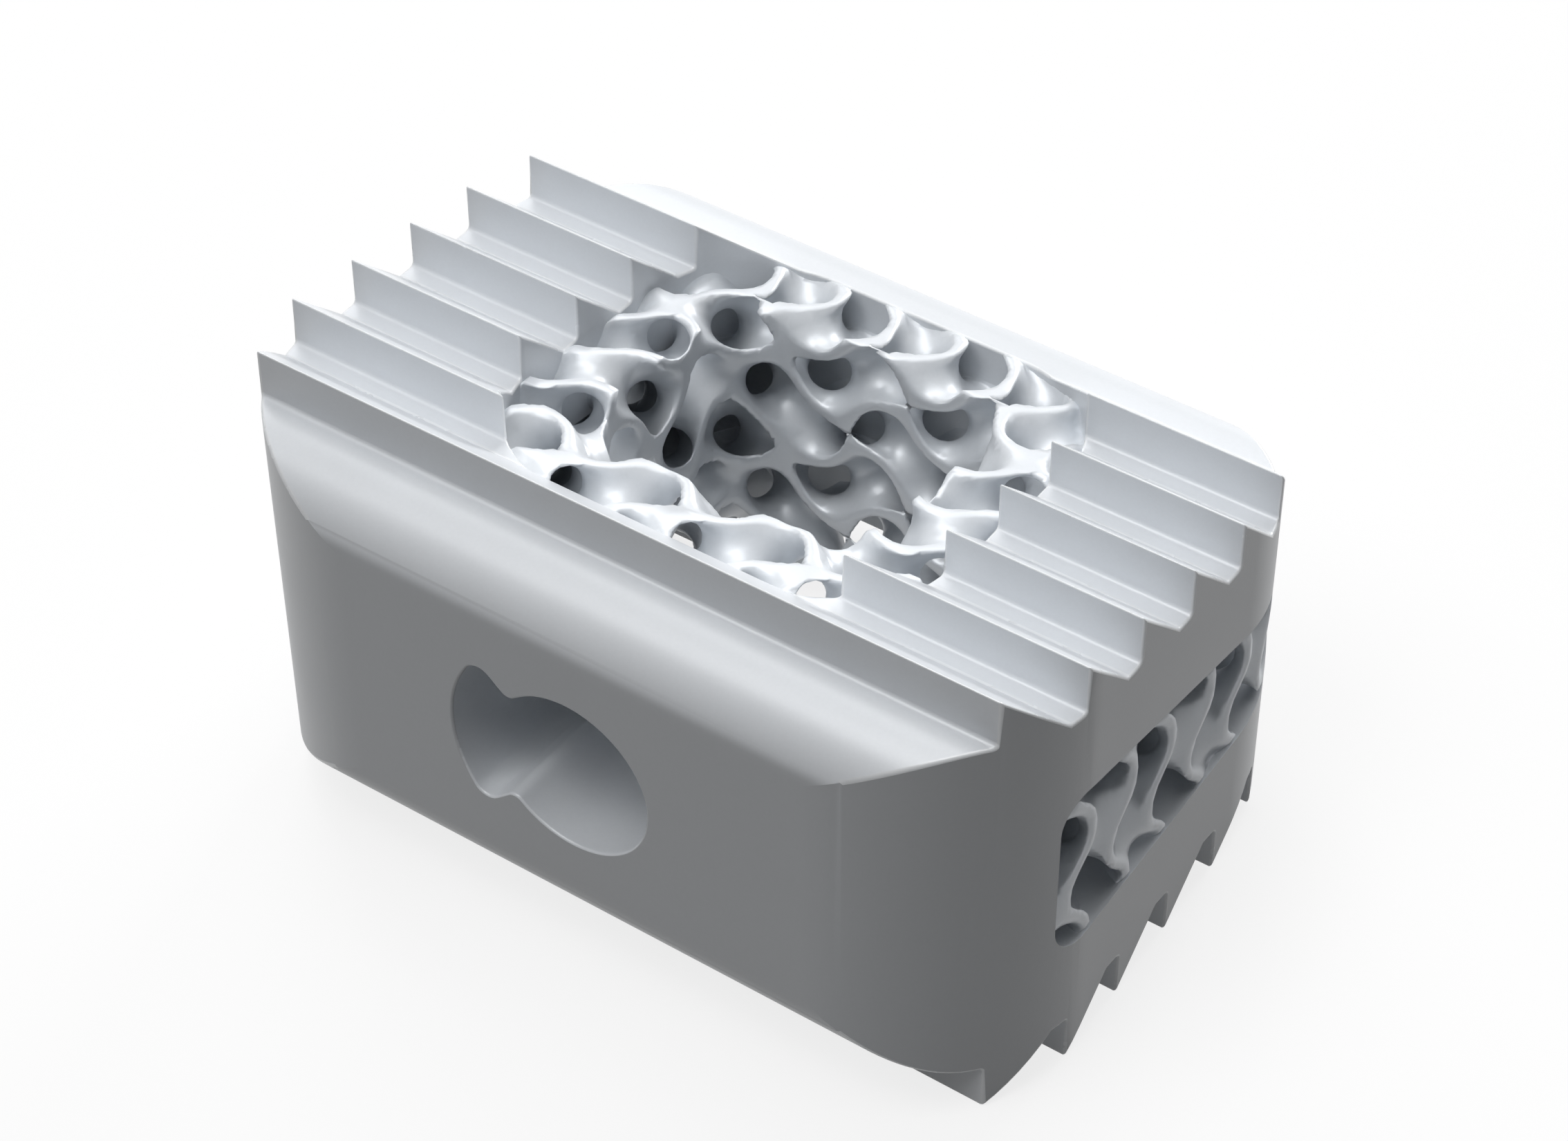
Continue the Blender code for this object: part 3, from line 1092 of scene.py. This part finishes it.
@dataclass
class Studio:
    """The pale floor, the soft light and the camera."""

    lamps: tuple[SoftLamp, ...]
    floor_half: float = 0.6
    floor_tone: float = 0.2
    floor_white: float = 0.8
    camera_place: tuple[float, float, float] = (0.02841410, -0.03467526, 0.05259644)
    camera_turn: tuple[float, float, float] = (0.74764797, 0.06590914, 0.60982591)
    lens: float = 87.535
    sensor: float = 36.0
    sight: tuple[float, float] = (0.001, 10.0)

    def shown_rays(self, tree: bpy.types.NodeTree) -> bpy.types.NodeSocket:
        """Which rays see the white background: camera, glossy and transmission rays.

        Args:
            tree: The node tree to build in.

        Returns:
            A value that is 1 for those rays.
        """
        path = tree.nodes.new("ShaderNodeLightPath")
        total = path.outputs["Is Camera Ray"]
        for label in ("Is Glossy Ray", "Is Transmission Ray"):
            either = tree.nodes.new("ShaderNodeMath")
            either.operation = "MAXIMUM"
            tree.links.new(total, either.inputs[0])
            tree.links.new(path.outputs[label], either.inputs[1])
            total = either.outputs[0]
        return total

    def add_floor(self) -> None:
        """Lay the floor, white to the eye and with the part's soft shadow on it."""
        Bench.clear_selection()
        bpy.ops.mesh.primitive_plane_add(size=2 * self.floor_half, location=(0.0, 0.0, 0.0))
        floor = bpy.context.object
        floor.name = "floor"
        bpy.ops.object.transform_apply(location=True, rotation=True, scale=True)
        made = bpy.data.materials.new("floor_white")
        made.use_nodes = True
        tree = made.node_tree
        tree.nodes.clear()
        matt = tree.nodes.new("ShaderNodeBsdfDiffuse")
        matt.inputs["Color"].default_value = (self.floor_tone,) * 3 + (1.0,)
        glow = tree.nodes.new("ShaderNodeEmission")
        scaled = tree.nodes.new("ShaderNodeMath")
        scaled.operation = "MULTIPLY"
        scaled.inputs[1].default_value = self.floor_white
        tree.links.new(self.shown_rays(tree), scaled.inputs[0])
        tree.links.new(scaled.outputs[0], glow.inputs["Strength"])
        both = tree.nodes.new("ShaderNodeAddShader")
        tree.links.new(matt.outputs[0], both.inputs[0])
        tree.links.new(glow.outputs[0], both.inputs[1])
        output = tree.nodes.new("ShaderNodeOutputMaterial")
        tree.links.new(both.outputs[0], output.inputs["Surface"])
        floor.data.materials.append(made)

    def add_backdrop(self) -> None:
        """Make the world white to the eye and dark to the light that falls on the part."""
        world = bpy.data.worlds.new("studio")
        bpy.context.scene.world = world
        world.use_nodes = True
        tree = world.node_tree
        tree.nodes.clear()
        white = tree.nodes.new("ShaderNodeBackground")
        white.inputs["Color"].default_value = (1.0, 1.0, 1.0, 1.0)
        tree.links.new(self.shown_rays(tree), white.inputs["Strength"])
        output = tree.nodes.new("ShaderNodeOutputWorld")
        tree.links.new(white.outputs[0], output.inputs["Surface"])

    def hang(self, lamp: SoftLamp) -> None:
        """Hang a square soft lamp that points at the part.

        Args:
            lamp: The lamp.
        """
        data = bpy.data.lights.new(lamp.name, "AREA")
        data.shape = "SQUARE"
        data.size = lamp.size
        data.energy = lamp.power
        item = bpy.data.objects.new(lamp.name, data)
        bpy.context.scene.collection.objects.link(item)
        turn, rise = math.radians(lamp.turn), math.radians(lamp.rise)
        level = math.cos(rise)
        way = Vector((math.cos(turn) * level, math.sin(turn) * level, math.sin(rise)))
        item.location = lamp.reach * way
        item.rotation_euler = (-way).to_track_quat("-Z", "Y").to_euler()

    def add_camera(self) -> None:
        """Place the camera at the photograph's angle."""
        data = bpy.data.cameras.new("camera")
        data.lens = self.lens
        data.sensor_width = self.sensor
        data.sensor_fit = "HORIZONTAL"
        data.clip_start, data.clip_end = self.sight
        camera = bpy.data.objects.new("camera", data)
        bpy.context.scene.collection.objects.link(camera)
        camera.location = self.camera_place
        camera.rotation_euler = self.camera_turn
        bpy.context.scene.camera = camera

    def build(self) -> None:
        """Set up the floor, the light and the camera."""
        self.add_floor()
        self.add_backdrop()
        for lamp in self.lamps:
            self.hang(lamp)
        self.add_camera()
        bpy.context.scene.view_settings.view_transform = "Standard"


def main() -> None:
    """Build the part's pieces and the studio."""
    logging.basicConfig(level=logging.INFO, format="%(name)s: %(message)s")
    face_materials = {
        Face.TEETH: BlastedTitanium("titanium_teeth"),
        # Edge strips: the paler colour is a painted highlight; the lower roughness is their own.
        Face.EDGE: BlastedTitanium(
            "titanium_edge_painted_highlight", colour=(0.82, 0.84, 0.86), roughness=0.27, grain=0.3
        ),
        # Outer skin: painted shade, with its upright faces coloured at 0.64 of full.
        Face.SKIN: BlastedTitanium("titanium_skin_painted_shade", painted_shade_factor=0.64),
    }
    frame = ToothedFrame(face_materials=face_materials).build()
    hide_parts(NODE)
    lattice = GyroidLattice().build()
    pores = BlastedTitanium(
        "titanium_lattice", colour=(0.72, 0.75, 0.785), metallic=0.16, roughness=0.38
    )
    lattice.data.materials.append(pores.material())
    for piece in (frame, lattice):
        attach(piece, BODY)
        LOG.info("%s: %d faces", piece.name, len(piece.data.polygons))
    lamps = (
        SoftLamp("softbox_over", turn=0.0, rise=90.0, power=0.27, size=0.2),
        SoftLamp("softbox_back", turn=120.0, rise=65.0, power=0.18),
        SoftLamp("softbox_front", turn=240.0, rise=65.0, power=0.30),
        SoftLamp("softbox_left", turn=135.0, rise=40.0, power=0.17),
        SoftLamp("rim_back", turn=90.0, rise=15.0, power=0.48, size=0.12),
    )
    Studio(lamps=lamps).build()


if __name__ == "__main__":
    main()
